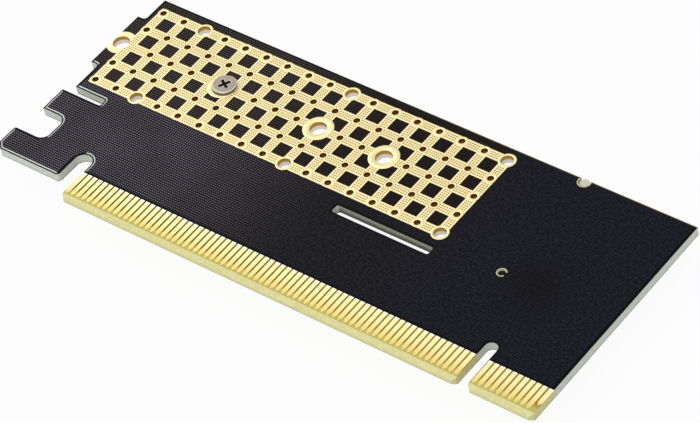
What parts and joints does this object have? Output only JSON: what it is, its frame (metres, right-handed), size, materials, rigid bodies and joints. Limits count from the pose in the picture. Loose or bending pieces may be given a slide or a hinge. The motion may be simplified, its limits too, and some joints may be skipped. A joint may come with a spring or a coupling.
{
  "type": "nvme adapter card",
  "caption": "Plug-in card that carries an M.2 solid-state drive in a long expansion slot, with a gold grid of thermal vias behind the drive.",
  "frame": {"origin": "card-edge datum: the middle of the key notch, on the card edge, halfway through the board's thickness", "axes": "+X towards the bracket end along the card edge, +Y away from the card edge, +Z out of the solder side"},
  "size_m": [0.0991, 0.04, 0.0061],
  "materials": {
    "laminate": "cut glass-epoxy edge; gold-plated copper where the masks leave it bare",
    "solder_mask": "satin black",
    "gold": "satin gold plating",
    "socket_plastic": "black moulded",
    "tinned": "bright tin",
    "standoff_brass": "turned",
    "screw_steel": "nickel plated",
    "ceramic": "fired ceramic with tinned ends",
    "resistor_body": "black glaze with tinned ends",
    "lamp_body": "clear resin on a white base"
  },
  "bodies": {
    "root": {"circuit_board": "laminate", "solder_mask_back": "solder_mask", "solder_mask_front": "solder_mask", "edge_contacts_back": "gold", "edge_contacts_front": "gold", "socket_housing": "socket_plastic", "socket_contacts_upper": "gold", "socket_contacts_lower": "gold", "socket_hold_down_near": "tinned", "socket_hold_down_far": "tinned", "standoff": "standoff_brass", "standoff_screw": "screw_steel", "bulk_capacitor_1": "ceramic", "bulk_capacitor_2": "ceramic", "bulk_capacitor_3": "ceramic", "bypass_capacitor_1": "ceramic", "bypass_capacitor_2": "ceramic", "bypass_capacitor_3": "ceramic", "bypass_capacitor_4": "ceramic", "power_lamp": "lamp_body", "power_lamp_resistor": "resistor_body", "activity_lamp": "lamp_body", "activity_lamp_resistor": "resistor_body", "pull_up_resistor_1": "resistor_body", "pull_up_resistor_2": "resistor_body"}
  },
  "joints": []
}
